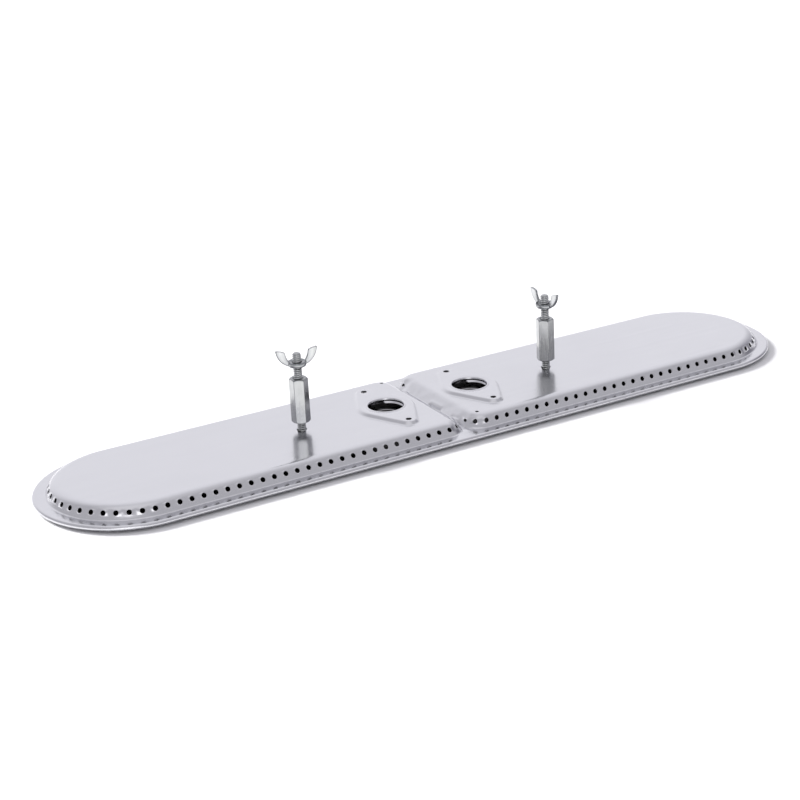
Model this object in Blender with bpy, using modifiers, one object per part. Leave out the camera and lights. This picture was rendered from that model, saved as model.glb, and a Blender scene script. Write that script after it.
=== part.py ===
"""Twin oval pan burner for a gas grill, lying on its smooth pan face.

Two stainless pans are hemmed together round a stadium outline. The upper pan has a
ported wall and is pinched across the middle, so that it forms two chambers, each
with its own gas inlet. Each chamber carries a threaded stud with a long hex standoff
and a wing nut, which clamp the burner to the grill.

The length runs along X, +Z is up, and the origin is at the centre of the footprint on
the surface that the burner lies on. Lengths are in metres.
"""

import math

import bmesh
import bpy
from mathutils import Matrix, Vector

MM = 0.001

# Sheet and levels above the supporting surface
SHEET = 0.9 * MM
GAP = 0.3 * MM
HEM_HEIGHT = 3.3 * MM
HEM_BASE_Z = 1.5 * MM
FLANGE_Z = HEM_BASE_Z + HEM_HEIGHT
PLATE_Z = HEM_BASE_Z + 11.4 * MM
PAD_RAISE = 2.0 * MM
PAD_Z = PLATE_Z + PAD_RAISE
CREASE_Z = HEM_BASE_Z + 5.4 * MM

# Plan: a stadium, whose two end arcs share these centres
ARC_X = 218.6 * MM
EDGE_R = 62.4 * MM
HEM_LIP_R = 58.4 * MM
WALL_FOOT_R = 54.4 * MM
PLATE_R = 44.3 * MM
ARC_STEPS = 20

# Raised chamber beside the groove
FOOT_X = 1.2 * MM
FOOT_CORNER_R = 12.6 * MM
PLATE_X = 10.6 * MM
PLATE_CORNER_R = 6.5 * MM
CORNER_STEPS = 4
GROOVE_STEPS = 8
GROOVE_END_RAMP = 10.0 * MM
GROOVE_POWER = 1.6

# Wall section, from the flange up to the plate
FOOT_FILLET = 1.2 * MM
SHOULDER_WIDTH = 7.2 * MM
SHOULDER_HEIGHT = 4.7 * MM
SHOULDER_SWEEP = math.radians(68)
SHOULDER_STEPS = 4

# Flame ports
PORT_PITCH = 8.0 * MM
PORT_R = 1.55 * MM
PORT_Z = HEM_BASE_Z + 7.5 * MM
FIRST_PORT_X = 14.4 * MM
CORNER_PORTS = 2
PORT_SIDES = 6
CORNER_VENT = (12.6 * MM, 42.6 * MM)
CORNER_VENT_R = 1.2 * MM

# Inlets, each with a two-bolt pad
INLET_X = 33.2 * MM
INLET_R = 12.0 * MM
INLET_LIP = 1.6 * MM
INLET_COLLAR = 1.4 * MM
SCREW_SPACING = 61.6 * MM
SCREW_HOLE_R = 1.9 * MM
PAD_WAIST_R = 21.0 * MM
PAD_EAR_R = 7.0 * MM
PAD_SLOPE = 2.2 * MM
INLET_STEPS = 24
EAR_STEPS = 4
WAIST_STEPS = 4

# Studs and their hardware
STUD_X = 97.0 * MM
STUD_R = 3.0 * MM
STUD_TOP_Z = PLATE_Z + 53.3 * MM
STUD_HEAD_R = 6.0 * MM
STUD_HEAD_HEIGHT = 1.5 * MM
STUD_STEPS = 24
BORE_R = STUD_R + GAP
STANDOFF_Z = PLATE_Z + 5.8 * MM
STANDOFF_LENGTH = 30.4 * MM
STANDOFF_FLATS = 11.1 * MM
STANDOFF_CHAMFER = 0.9 * MM
STANDOFF_TURN = {"left": math.radians(4.6), "right": math.radians(-14.7)}
WING_Z = PLATE_Z + 44.4 * MM
WING_SHEET = 1.8 * MM
WING_HUB_R = 6.3 * MM
WING_HUB_HEIGHT = 3.4 * MM
WING_HUB_ROUNDING = 1.2 * MM
# Edges of one wing, each a curve given by its ends and its pull point: (out, up)
WING_OUTER = ((5.2 * MM, 0.3 * MM), (12.6 * MM, 2.9 * MM), (14.0 * MM, 11.4 * MM))
WING_TOP = ((14.0 * MM, 11.4 * MM), (13.9 * MM, 12.2 * MM), (13.1 * MM, 12.0 * MM))
WING_CORNER = ((8.6 * MM, 10.8 * MM), (7.8 * MM, 10.5 * MM), (7.6 * MM, 9.8 * MM))
WING_INNER = ((7.6 * MM, 9.8 * MM), (7.0 * MM, 5.6 * MM), (4.6 * MM, 3.0 * MM))
WING_TURN = {"left": math.radians(-13), "right": math.radians(-82)}

# Pieces inside the chambers
BACKING = 1.5 * MM
STUD_PLATE_R = 14.0 * MM
STUD_PLATE = 1.0 * MM
NUT_FLATS = 8.0 * MM
NUT_HEIGHT = 3.2 * MM
BAFFLE_R = 11.4 * MM
BAFFLE_SHELF = 3.6 * MM
BAFFLE_HEIGHT = 6.4 * MM
BAFFLE_START = math.radians(-35)
BAFFLE_SWEEP = math.radians(200)
BAFFLE_STEPS = 20
DIVIDER_LENGTH = 80.0 * MM
DIVIDER_FOOT = 7.0 * MM
DIVIDER_STEPS = 16

# Lower pan
LOWER_EDGE_R = 60.8 * MM
LOWER_FLANGE_R = 56.8 * MM
LOWER_FLOOR_R = 51.5 * MM

SIDES = {"left": -1, "right": 1}
UP = Vector((0, 0, 1))


def material(name, colour, roughness, metallic=1.0):
    made = bpy.data.materials.new(name)
    made.use_nodes = True
    shader = made.node_tree.nodes["Principled BSDF"]
    shader.inputs["Base Color"].default_value = (*colour, 1)
    shader.inputs["Roughness"].default_value = roughness
    shader.inputs["Metallic"].default_value = metallic
    return made


def collection(name):
    made = bpy.data.collections.new(name)
    bpy.context.scene.collection.children.link(made)
    return made


def add_object(name, bm, group, finish=None, sheet=None):
    """Turns a bmesh into a smooth-shaded object. An open sheet is turned face up, and is
    thickened below its faces."""
    bmesh.ops.recalc_face_normals(bm, faces=bm.faces)
    if sheet and sum(face.normal.z * face.calc_area() for face in bm.faces) < 0:
        bmesh.ops.reverse_faces(bm, faces=bm.faces)
    mesh = bpy.data.meshes.new(name)
    bm.to_mesh(mesh)
    bm.free()
    mesh.shade_smooth()
    mesh.set_sharp_from_angle(angle=math.radians(32))
    made = bpy.data.objects.new(name, mesh)
    group.objects.link(made)
    if finish:
        mesh.materials.append(finish)
    if sheet:
        modifier = made.modifiers.new("sheet", "SOLIDIFY")
        modifier.thickness = sheet
        modifier.offset = -1
        modifier.use_even_offset = True
        modifier.use_quality_normals = True
    return made


def as_cutter(obj):
    obj.hide_render = True
    obj.display_type = "WIRE"
    return obj


def add_boolean(obj, other, operation="DIFFERENCE"):
    modifier = obj.modifiers.new(other.name, "BOOLEAN")
    modifier.object = other
    modifier.operation = operation
    modifier.solver = "EXACT"


def cylinder(bm, radius, low, high, at=(0, 0), segments=24, radius_top=None):
    """An upright cylinder, or a cone frustum, between two levels."""
    bmesh.ops.create_cone(
        bm,
        cap_ends=True,
        segments=segments,
        radius1=radius,
        radius2=radius if radius_top is None else radius_top,
        depth=high - low,
        matrix=Matrix.Translation((at[0], at[1], (low + high) / 2)),
    )


def turned(name, profile, group, finish, segments=24):
    """A solid turned round Z: profile runs down its outer side from the axis to the axis."""
    bm = bmesh.new()
    points = [bm.verts.new((r, 0, z)) for r, z in profile]
    for a, b in zip(points, points[1:]):
        bm.edges.new((a, b))
    mesh = bpy.data.meshes.new(name)
    bm.to_mesh(mesh)
    bm.free()
    made = bpy.data.objects.new(name, mesh)
    group.objects.link(made)
    if finish:
        mesh.materials.append(finish)
    screw = made.modifiers.new("turn", "SCREW")
    screw.steps = segments
    screw.render_steps = segments
    screw.use_merge_vertices = True
    screw.merge_threshold = 0.00001
    screw.use_smooth_shade = True
    return made


def arc(centre, radius, start, sweep, steps, ends=(True, True)):
    """Points on an arc in plan, with or without its first and last one."""
    first, last = (0 if ends[0] else 1), (steps if ends[1] else steps - 1)
    return [
        Vector((
            centre[0] + radius * math.cos(start + sweep * k / steps),
            centre[1] + radius * math.sin(start + sweep * k / steps),
        ))
        for k in range(first, last + 1)
    ]


def stadium(radius, steps=ARC_STEPS):
    """The whole burner's outline at this radius, anticlockwise from the right end's front."""
    right = arc((ARC_X, 0), radius, -math.pi / 2, math.pi, steps)
    return right + [-point for point in right]


def chamber_outline(radius, inner_x, corner_r):
    """One chamber's outline on the +X side: end arc, back groove corner, groove side and
    front groove corner, anticlockwise from the front of the end arc."""
    quarter = math.pi / 2
    corner_x, corner_y = inner_x + corner_r, radius - corner_r
    points = arc((ARC_X, 0), radius, -quarter, math.pi, ARC_STEPS)
    points += arc((corner_x, corner_y), corner_r, quarter, quarter, CORNER_STEPS)
    points += [
        Vector((inner_x, corner_y * (1 - 2 * k / GROOVE_STEPS)))
        for k in range(1, GROOVE_STEPS)
    ]
    points += arc((corner_x, -corner_y), corner_r, math.pi, quarter, CORNER_STEPS)
    return points


def groove_share(index):
    """How far a point of the outline belongs to the groove side: 0 on the ported wall."""
    back_corner = ARC_STEPS + 1
    groove_end = back_corner + CORNER_STEPS + GROOVE_STEPS
    if index < back_corner:
        return 0.0
    if index <= back_corner + CORNER_STEPS:
        return ((index - back_corner) / CORNER_STEPS) ** 2
    if index < groove_end:
        return 1.0
    return max(0.0, 1 - (index - groove_end) / CORNER_STEPS) ** 2


def crease_rise(y):
    """Height of the pinch line above the flange."""
    reach = WALL_FOOT_R - FOOT_CORNER_R - abs(y)
    share = min(max(reach / GROOVE_END_RAMP, 0), 1)
    return (CREASE_Z - FLANGE_Z) * share * share * (3 - 2 * share)


def wall_section():
    """(share of the way in from foot to plate, height) up the ported wall."""
    width = WALL_FOOT_R - PLATE_R
    shoulder = [
        (
            PLATE_R + SHOULDER_WIDTH * math.sin(SHOULDER_SWEEP * k / SHOULDER_STEPS),
            PLATE_Z - SHOULDER_HEIGHT * (1 - math.cos(SHOULDER_SWEEP * k / SHOULDER_STEPS)),
        )
        for k in range(SHOULDER_STEPS, -1, -1)
    ]
    foot = [
        (WALL_FOOT_R, FLANGE_Z),
        (WALL_FOOT_R - FOOT_FILLET * 0.55, FLANGE_Z + FOOT_FILLET * 0.22),
        (WALL_FOOT_R - FOOT_FILLET * 0.9, FLANGE_Z + FOOT_FILLET * 0.75),
    ]
    return [((WALL_FOOT_R - r) / width, z) for r, z in foot + shoulder]


def row_radius():
    """Stadium radius at which the ported wall passes through the port height."""
    section = wall_section()
    for (share_a, z_a), (share_b, z_b) in zip(section, section[1:]):
        if z_a <= PORT_Z <= z_b:
            share = share_a + (share_b - share_a) * (PORT_Z - z_a) / (z_b - z_a)
            slope = math.atan2(z_b - z_a, (share_b - share_a) * (WALL_FOOT_R - PLATE_R))
            return WALL_FOOT_R - share * (WALL_FOOT_R - PLATE_R), share, slope
    raise ValueError("the port height is off the wall")


def ring(bm, points, heights):
    return [bm.verts.new((p.x, p.y, z)) for p, z in zip(points, heights)]


def bridge(bm, lower, upper, closed=True):
    """Quads between two rings that have the same number of points."""
    count = len(lower)
    for k in range(count if closed else count - 1):
        j = (k + 1) % count
        bm.faces.new((lower[k], lower[j], upper[j], upper[k]))


def fill_flat(bm, loops):
    """Fills the level area inside the first loop and outside the others."""
    edges = []
    for loop in loops:
        for a, b in zip(loop, loop[1:] + loop[:1]):
            edges.append(bm.edges.get((a, b)) or bm.edges.new((a, b)))
    bmesh.ops.triangle_fill(bm, edges=edges, use_beauty=True, normal=UP)


def pad_outline(inset):
    """Two-bolt pad: a waist round the inlet and an ear round each screw, joined by tangents."""
    waist, ear, reach = PAD_WAIST_R - inset, PAD_EAR_R - inset, SCREW_SPACING / 2
    lean = math.asin((waist - ear) / reach)
    right = arc((0, 0), waist, -lean, 2 * lean, WAIST_STEPS)
    back = arc((0, reach), ear, lean, math.pi - 2 * lean, EAR_STEPS)
    half = right + back
    return half + [-point for point in half]


def shifted(points, x):
    return [Vector((p.x + x, p.y)) for p in points]


def level(bm, points, z):
    return ring(bm, points, [z] * len(points))


def circle(x, radius, steps=INLET_STEPS):
    return arc((x, 0), radius, 0, 2 * math.pi, steps, (True, False))


def add_chamber(bm, side):
    """One raised chamber with its pad, inlet lip and stud hole. Returns its foot ring."""
    foot = chamber_outline(WALL_FOOT_R, FOOT_X, FOOT_CORNER_R)
    plate = chamber_outline(PLATE_R, PLATE_X, PLATE_CORNER_R)
    rings = []
    for share, wall_z in wall_section():
        points, heights = [], []
        for k, (a, b) in enumerate(zip(foot, plate)):
            belongs = groove_share(k)
            base = FLANGE_Z + crease_rise(a.y) * (belongs == 1.0)
            groove_z = base + (PLATE_Z - base) * (1 - (1 - share) ** GROOVE_POWER)
            points.append(side * a.lerp(b, share))
            heights.append(wall_z + (groove_z - wall_z) * belongs)
        rings.append(ring(bm, points, heights))
    for lower, upper in zip(rings, rings[1:]):
        bridge(bm, lower, upper)

    pad_foot = level(bm, shifted(pad_outline(0), side * INLET_X), PLATE_Z)
    pad_mid = level(bm, shifted(pad_outline(PAD_SLOPE / 2), side * INLET_X), PLATE_Z + PAD_RAISE * 0.6)
    pad_top = level(bm, shifted(pad_outline(PAD_SLOPE), side * INLET_X), PAD_Z)
    bridge(bm, pad_foot, pad_mid)
    bridge(bm, pad_mid, pad_top)

    lip = [
        (INLET_R + INLET_LIP, 0),
        (INLET_R + INLET_LIP * 0.5, INLET_LIP * 0.13),
        (INLET_R + INLET_LIP * 0.13, INLET_LIP * 0.5),
        (INLET_R, INLET_LIP),
        (INLET_R, INLET_LIP + INLET_COLLAR),
    ]
    lips = [level(bm, circle(side * INLET_X, r), PAD_Z - drop) for r, drop in lip]
    for outer, inner in zip(lips, lips[1:]):
        bridge(bm, outer, inner)
    fill_flat(bm, [pad_top, lips[0]])

    stud_hole = level(bm, circle(side * STUD_X, BORE_R, STUD_STEPS), PLATE_Z)
    fill_flat(bm, [rings[-1], pad_foot, stud_hole])
    return rings[0]


def add_hem(bm):
    """The flange's edge, folded round and under. Returns the loop where the flange begins."""
    bend = HEM_HEIGHT / 2
    section = [
        (
            EDGE_R - bend + bend * math.cos(math.radians(angle)),
            HEM_BASE_Z + bend + bend * math.sin(math.radians(angle)),
        )
        for angle in range(90, -91, -45)
    ]
    section.append((HEM_LIP_R, HEM_BASE_Z))
    rings = [level(bm, stadium(r), z) for r, z in section]
    for inner, outer in zip(rings, rings[1:]):
        bridge(bm, inner, outer)
    return rings[0]


def build_upper_shell(group, finish, cutters):
    bm = bmesh.new()
    feet = {side: add_chamber(bm, side) for side in SIDES.values()}
    # The pinch strip joins the two groove sides, and its ends close the flange's inner loop.
    start = ARC_STEPS + 1 + CORNER_STEPS
    stop = start + GROOVE_STEPS + 1
    right, left = feet[1], feet[-1]
    right_side, left_side = right[start:stop], left[start:stop][::-1]
    bridge(bm, right_side, left_side, closed=False)
    inner = right[stop - 1:] + right[:start + 1] + left[stop - 1:] + left[:start + 1]
    fill_flat(bm, [add_hem(bm), inner])
    shell = add_object("upper_shell", bm, group, finish, SHEET)
    for cutter in cutters:
        add_boolean(shell, cutter)


def port_row():
    """(place, outward direction) of each port on the +X chamber, along its outline."""
    radius, share, _ = row_radius()
    inner_x = FOOT_X + (PLATE_X - FOOT_X) * share
    corner_r = FOOT_CORNER_R + (PLATE_CORNER_R - FOOT_CORNER_R) * share
    corner_x = inner_x + corner_r
    straight, bend = ARC_X - corner_x, math.pi * radius
    first = FIRST_PORT_X - corner_x
    # An odd number of gaps runs round the end, so that no port lies on the middle line.
    half_gaps = round((straight + bend / 2 - first) / PORT_PITCH - 0.5) + 0.5
    pitch = (straight + bend / 2 - first) / half_gaps
    row = []
    for k in range(-CORNER_PORTS, math.ceil(half_gaps)):
        along = first + k * pitch
        if along < 0:
            turn = -along / corner_r
            out = Vector((-math.sin(turn), -math.cos(turn)))
            place = Vector((corner_x, -radius + corner_r)) + out * corner_r
        elif along < straight:
            out = Vector((0, -1))
            place = Vector((corner_x + along, -radius))
        else:
            turn = (along - straight) / radius
            out = Vector((math.sin(turn), -math.cos(turn)))
            place = Vector((ARC_X, 0)) + out * radius
        row.append((place, out))
    return row


def build_port_cutter(group):
    """Every flame port of both chambers, square to the wall."""
    slope = row_radius()[2]
    bm = bmesh.new()
    for place, out in port_row():
        for sx in (1, -1):
            for sy in (1, -1):
                flat = Vector((out.x * sx, out.y * sy, 0))
                axis = flat * math.sin(slope) + UP * math.cos(slope)
                spin = axis.to_track_quat("Z", "Y").to_matrix().to_4x4()
                centre = Vector((place.x * sx, place.y * sy, PORT_Z))
                bmesh.ops.create_cone(
                    bm,
                    cap_ends=True,
                    segments=PORT_SIDES,
                    radius1=PORT_R,
                    radius2=PORT_R,
                    depth=4 * SHEET,
                    matrix=Matrix.Translation(centre) @ spin,
                )
    return as_cutter(add_object("port_cutter", bm, group))


def build_hole_cutter(group):
    """Screw holes in the pads, and one vent on the groove corner of each chamber."""
    bm = bmesh.new()
    for side in SIDES.values():
        for end in (1, -1):
            at = (side * INLET_X, end * SCREW_SPACING / 2)
            cylinder(bm, SCREW_HOLE_R, PAD_Z - 3 * SHEET, PAD_Z + SHEET, at, 12)
        at = (side * CORNER_VENT[0], -side * CORNER_VENT[1])
        cylinder(bm, CORNER_VENT_R, PLATE_Z - 6 * SHEET, PLATE_Z + SHEET, at, 8)
    return as_cutter(add_object("hole_cutter", bm, group))


def build_lower_shell(group, finish):
    """The smooth pan: its flange lies in the hem and its flat floor carries the burner."""
    flange_z = HEM_BASE_Z + HEM_HEIGHT / 2 + SHEET / 2
    floor_z = SHEET
    drop, span = flange_z - floor_z, LOWER_FLANGE_R - LOWER_FLOOR_R
    section = [(LOWER_EDGE_R, flange_z), (LOWER_FLANGE_R, flange_z)]
    section += [
        (
            LOWER_FLANGE_R - span * k / 6,
            flange_z - drop * (1 - math.cos(math.pi * k / 6)) / 2,
        )
        for k in range(1, 7)
    ]
    bm = bmesh.new()
    rings = [level(bm, stadium(r), z) for r, z in section]
    for outer, inner in zip(rings, rings[1:]):
        bridge(bm, outer, inner)
    bm.faces.new(rings[-1])
    add_object("lower_shell", bm, group, finish, SHEET)


def hex_radius(flats):
    return flats / math.sqrt(3)


def build_stud(side, group, finish):
    under = PLATE_Z - SHEET - GAP - STUD_PLATE - GAP
    tip = 0.8 * MM
    profile = [
        (0, STUD_TOP_Z),
        (STUD_R - tip, STUD_TOP_Z),
        (STUD_R, STUD_TOP_Z - tip),
        (STUD_R, under),
        (STUD_HEAD_R, under),
        (STUD_HEAD_R, under - STUD_HEAD_HEIGHT),
        (0, under - STUD_HEAD_HEIGHT),
    ]
    stud = turned(f"{side}_stud", profile, group, finish)
    stud.location = (SIDES[side] * STUD_X, 0, 0)


def build_standoff(side, group, finish, cutters):
    """Long coupling nut: a hexagon with both ends chamfered, on the stud."""
    corner = hex_radius(STANDOFF_FLATS)
    half = STANDOFF_LENGTH / 2
    bm = bmesh.new()
    cylinder(bm, corner, -half, half, segments=6)
    body = add_object(f"{side}_standoff", bm, group, finish)
    face = STANDOFF_FLATS / 2 - STANDOFF_CHAMFER * 0.2
    outer = corner + STANDOFF_CHAMFER * 0.2
    barrel = [
        (0, half),
        (face, half),
        (outer, half - STANDOFF_CHAMFER),
        (outer, STANDOFF_CHAMFER - half),
        (face, -half),
        (0, -half),
    ]
    chamfer = as_cutter(turned(f"{side}_chamfer_guide", barrel, cutters, None))
    bm = bmesh.new()
    cylinder(bm, BORE_R, -STANDOFF_LENGTH, STANDOFF_LENGTH)
    bore = as_cutter(add_object(f"{side}_standoff_bore", bm, cutters))
    place = (SIDES[side] * STUD_X, 0, STANDOFF_Z + half)
    for obj in (body, chamfer, bore):
        obj.location = place
        obj.rotation_euler.z = STANDOFF_TURN[side]
    add_boolean(body, chamfer, "INTERSECT")
    add_boolean(body, bore)


def curve_points(ends, steps):
    """Points on a quadratic curve from its first end to its last, drawn towards the middle."""
    a, pull, b = (Vector(point) for point in ends)
    return [a.lerp(pull, k / steps).lerp(pull.lerp(b, k / steps), k / steps) for k in range(steps + 1)]


def build_wing_nut(side, group, finish, cutters):
    """Wing nut: a round hub, and two flat wings that stand up and out in one plane."""
    half = curve_points(WING_OUTER, 8) + curve_points(WING_TOP, 3)[1:]
    half += curve_points(WING_CORNER, 3) + curve_points(WING_INNER, 6)[1:]
    bm = bmesh.new()
    outline = half + [Vector((-x, z)) for x, z in half[::-1]]
    bm.faces.new([bm.verts.new((x, 0, z)) for x, z in outline])
    wings = add_object(f"{side}_wing_nut", bm, group, finish, WING_SHEET)
    wings.modifiers["sheet"].offset = 0
    rounding = WING_HUB_ROUNDING
    profile = [
        (0, WING_HUB_HEIGHT),
        (WING_HUB_R - rounding / 4, WING_HUB_HEIGHT),
        (WING_HUB_R, WING_HUB_HEIGHT - rounding / 4),
        (WING_HUB_R, rounding),
        (WING_HUB_R - rounding, 0),
        (0, 0),
    ]
    hub = as_cutter(turned(f"{side}_wing_hub", profile, cutters, None))
    bm = bmesh.new()
    cylinder(bm, BORE_R, -WING_HUB_HEIGHT, 2 * WING_HUB_HEIGHT)
    bore = as_cutter(add_object(f"{side}_wing_bore", bm, cutters))
    for obj in (wings, hub, bore):
        obj.location = (SIDES[side] * STUD_X, 0, WING_Z)
        obj.rotation_euler.z = WING_TURN[side]
    add_boolean(wings, hub, "UNION")
    add_boolean(wings, bore)


def plate(name, outline, holes, top, thickness, group, finish):
    """A flat plate with holes, hanging below its top level."""
    bm = bmesh.new()
    fill_flat(bm, [level(bm, points, top) for points in [outline, *holes]])
    add_object(name, bm, group, finish, thickness)


def build_inner_pieces(side, group, finishes):
    """Backing plates and weld nuts under the pad and the stud, and the gas baffle."""
    x = SIDES[side] * INLET_X
    top = PAD_Z - SHEET - GAP
    ears = [
        arc((x, end * SCREW_SPACING / 2), SCREW_HOLE_R, 0, 2 * math.pi, 12, (True, False))
        for end in (1, -1)
    ]
    outline = shifted(pad_outline(PAD_SLOPE + SHEET), x)
    collar = circle(x, INLET_R + INLET_LIP)
    plate(f"{side}_inlet_backing_plate", outline, [collar, *ears], top, BACKING, group, finishes["steel"])
    for end, row in ((1, "back"), (-1, "front")):
        at = (x, end * SCREW_SPACING / 2)
        hexagon = arc(at, hex_radius(NUT_FLATS), 0, 2 * math.pi, 6, (True, False))
        bore = arc(at, SCREW_HOLE_R, 0, 2 * math.pi, 12, (True, False))
        nut_top = top - BACKING - GAP
        plate(f"{side}_{row}_weld_nut", hexagon, [bore], nut_top, NUT_HEIGHT, group, finishes["zinc"])
    stud_x = SIDES[side] * STUD_X
    disc, bore = circle(stud_x, STUD_PLATE_R), circle(stud_x, BORE_R, STUD_STEPS)
    under = PLATE_Z - SHEET - GAP
    plate(f"{side}_stud_plate", disc, [bore], under, STUD_PLATE, group, finishes["steel"])
    build_baffle(side, group, finishes["steel"])


def build_baffle(side, group, finish):
    """Angle strip rolled into an arc: it stands on the pan's floor and its shelf turns the gas."""
    foot_z = 2 * SHEET + GAP
    top_z = foot_z + BAFFLE_HEIGHT
    bend = 0.8 * MM
    section = [
        (BAFFLE_R, foot_z),
        (BAFFLE_R, top_z - bend),
        (BAFFLE_R - 0.3 * bend, top_z - 0.3 * bend),
        (BAFFLE_R - bend, top_z),
        (BAFFLE_R - BAFFLE_SHELF, top_z),
    ]
    bm = bmesh.new()
    x = SIDES[side] * INLET_X
    rows = [
        level(bm, arc((x, 0), r, BAFFLE_START, BAFFLE_SWEEP, BAFFLE_STEPS), z) for r, z in section
    ]
    for a, b in zip(rows, rows[1:]):
        bridge(bm, a, b, closed=False)
    add_object(f"{side}_gas_baffle", bm, group, finish, SHEET)


def build_divider(group, finish):
    """Bent strip across the pan, under the pinch line, which keeps the two chambers apart.
    Its top edge follows the pinch line down at both ends."""
    foot_z = SHEET + GAP + SHEET
    bm = bmesh.new()
    rows = []
    for k in range(DIVIDER_STEPS + 1):
        y = DIVIDER_LENGTH * (k / DIVIDER_STEPS - 0.5)
        top_z = FLANGE_Z + crease_rise(y) - 1.4 * SHEET - 2 * GAP
        section = [(DIVIDER_FOOT, foot_z), (SHEET / 2, foot_z), (SHEET / 2, top_z)]
        rows.append([bm.verts.new((x, y, z)) for x, z in section])
    for a, b in zip(rows, rows[1:]):
        bridge(bm, a, b, closed=False)
    add_object("chamber_divider", bm, group, finish, SHEET)


def main():
    for obj in list(bpy.data.objects):
        bpy.data.objects.remove(obj)
    parts, cutters = collection("twin_oval_burner"), collection("cutters")
    finishes = {
        "shell": material("shell_stainless", (0.62, 0.62, 0.64), 0.26),
        "steel": material("inner_stainless", (0.55, 0.55, 0.57), 0.38),
        "zinc": material("zinc_plated_steel", (0.66, 0.68, 0.68), 0.3),
    }
    hole_cutters = [build_port_cutter(cutters), build_hole_cutter(cutters)]
    build_upper_shell(parts, finishes["shell"], hole_cutters)
    build_lower_shell(parts, finishes["shell"])
    build_divider(parts, finishes["steel"])
    for side in SIDES:
        build_stud(side, parts, finishes["zinc"])
        build_standoff(side, parts, finishes["zinc"], cutters)
        build_wing_nut(side, parts, finishes["zinc"], cutters)
        build_inner_pieces(side, parts, finishes)


main()
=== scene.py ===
"""Looks of the twin oval pan burner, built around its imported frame.

The two pans, the studs, the standoffs and the wing nuts are rebuilt here as fine meshes
in the places that the frame gives. The pieces inside the chambers keep their CAD meshes
and get detailed materials. Lengths are in metres, +Z is up.
"""

import math

import bmesh
import bpy
import numpy as np
from mathutils import Matrix, Vector, geometry


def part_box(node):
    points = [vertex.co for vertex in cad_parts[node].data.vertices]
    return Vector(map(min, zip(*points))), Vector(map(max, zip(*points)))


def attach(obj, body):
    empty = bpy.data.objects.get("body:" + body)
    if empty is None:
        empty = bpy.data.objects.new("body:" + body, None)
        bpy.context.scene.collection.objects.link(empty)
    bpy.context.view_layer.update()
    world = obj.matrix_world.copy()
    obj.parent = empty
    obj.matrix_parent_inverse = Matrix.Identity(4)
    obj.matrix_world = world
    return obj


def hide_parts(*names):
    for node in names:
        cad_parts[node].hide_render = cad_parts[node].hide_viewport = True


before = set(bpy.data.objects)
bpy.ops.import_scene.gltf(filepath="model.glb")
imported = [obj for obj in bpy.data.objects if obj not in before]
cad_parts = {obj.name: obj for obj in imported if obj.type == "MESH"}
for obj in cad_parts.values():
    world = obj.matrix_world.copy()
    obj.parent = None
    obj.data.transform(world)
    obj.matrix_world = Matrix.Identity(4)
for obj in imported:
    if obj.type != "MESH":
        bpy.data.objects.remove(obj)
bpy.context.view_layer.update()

MM = 0.001
SIDES = {"left": -1, "right": 1}

# Driving sizes, from the frame
SHELL_LOW, SHELL_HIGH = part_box("upper_shell")
PAN_LOW, PAN_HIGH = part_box("lower_shell")
EDGE_R = (SHELL_HIGH.y - SHELL_LOW.y) / 2
ARC_X = SHELL_HIGH.x - EDGE_R
HEM_BASE_Z = SHELL_LOW.z
PAD_Z = SHELL_HIGH.z
LOWER_EDGE_R = (PAN_HIGH.y - PAN_LOW.y) / 2

# Sheet and levels
SHEET = 0.9 * MM
HEM_HEIGHT = 3.3 * MM
PAD_RAISE = 2.0 * MM
PLATE_Z = PAD_Z - PAD_RAISE
FLANGE_Z = HEM_BASE_Z + HEM_HEIGHT
CREASE_RISE = 2.1 * MM

# Plan of the upper shell
HEM_LIP_R = EDGE_R - 4.0 * MM
WALL_FOOT_R = EDGE_R - 8.0 * MM
FILLET_BACKSET = 0.59 * MM
PLATE_R = EDGE_R - 18.1 * MM
FOOT_X = 1.2 * MM
FOOT_CORNER_R = 12.6 * MM
PLATE_X = 10.6 * MM
PLATE_CORNER_R = 6.5 * MM
GROOVE_END_RAMP = 10.0 * MM
GROOVE_STRAIGHT = 0.62
GROOVE_PITCH = 1.0 * MM
CREASE_DEPTH_SHARE = 0.3
# Rows across the pinch strip: (share of its width, drop in mm)
CREASE_FOLD = ((0.28, 0.0), (0.5, 0.9), (0.72, 0.0))
CRINKLED_X = 22 * MM
FLAT_TOP_MARGIN = 0.5 * MM
SHEET_WAVE = 0.05 * MM

# Wall section
WALL_ANGLE = math.radians(61.2)
FOOT_FILLET_R = 1.6 * MM
SHOULDER_WIDTH = 7.2 * MM
SHOULDER_HEIGHT = 4.7 * MM
SHOULDER_SWEEP = math.radians(68)
# Gap between a bend and the row beside it that keeps the flat shading flat
SUPPORT = 0.35 * MM
SECTION_STEPS = 24
FILLET_TOP = 0.9 * MM
FILLET_ROWS = 5
SHOULDER_ROWS = 12
HEM_STEPS = 10

# Flame ports
PORT_PITCH = 8.0 * MM
PORT_Z = HEM_BASE_Z + 7.5 * MM
FIRST_PORT_X = 14.4 * MM
CORNER_PORTS = 2
CELL_HALF = 2.3 * MM
CELL_SPLIT = 4
# Rings from the cell in to the edge of the hole: (radius, lift), in mm
PORT_RINGS = ((2.2, 0.0), (1.95, 0.15), (1.7, 0.14), (1.58, 0.0), (1.55, -0.12))
CORNER_VENT = Vector((12.6 * MM, -42.6 * MM))
VENT_CLEARING = 2.6 * MM
VENT_LEAST_RISE = 3 * MM
# Rings from the clearing in to the edge of the hole: (radius, drop), in mm
VENT_RINGS = ((1.45, 0.0), (1.25, 0.04), (1.2, 0.16))

# Inlets and pads
INLET_X = 33.2 * MM
INLET_AROUND = 96
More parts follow.
